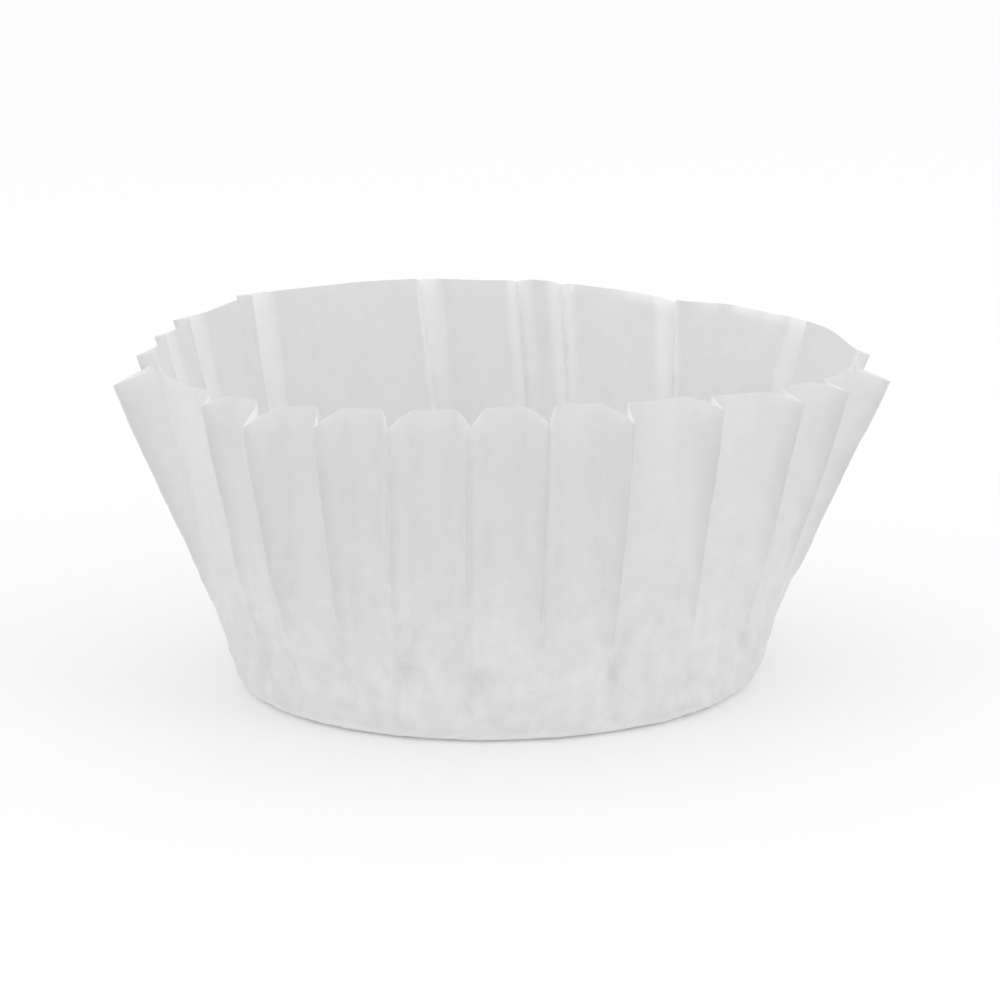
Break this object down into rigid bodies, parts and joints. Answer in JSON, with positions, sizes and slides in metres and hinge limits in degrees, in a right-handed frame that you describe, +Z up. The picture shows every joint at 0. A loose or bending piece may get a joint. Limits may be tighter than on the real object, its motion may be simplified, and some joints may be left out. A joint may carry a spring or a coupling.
{
  "type": "coffee filter",
  "caption": "Basket coffee filter of white paper: a round flat base and a flaring wall of plain panels joined by narrow upright pleats, open at the top.",
  "frame": {"origin": "centre of the flat base, on its underside", "axes": "+Z up, out of the mouth; -Y towards the front, where the pleats stand closest together; +X to the right of someone who faces the front"},
  "size_m": [0.1549, 0.1516, 0.0725],
  "materials": {
    "filter_paper": "bleached white filter paper, matt, fine-fibred and slightly cloudy, uncoated"
  },
  "bodies": {
    "root": {"filter_paper": "filter_paper"}
  },
  "joints": []
}
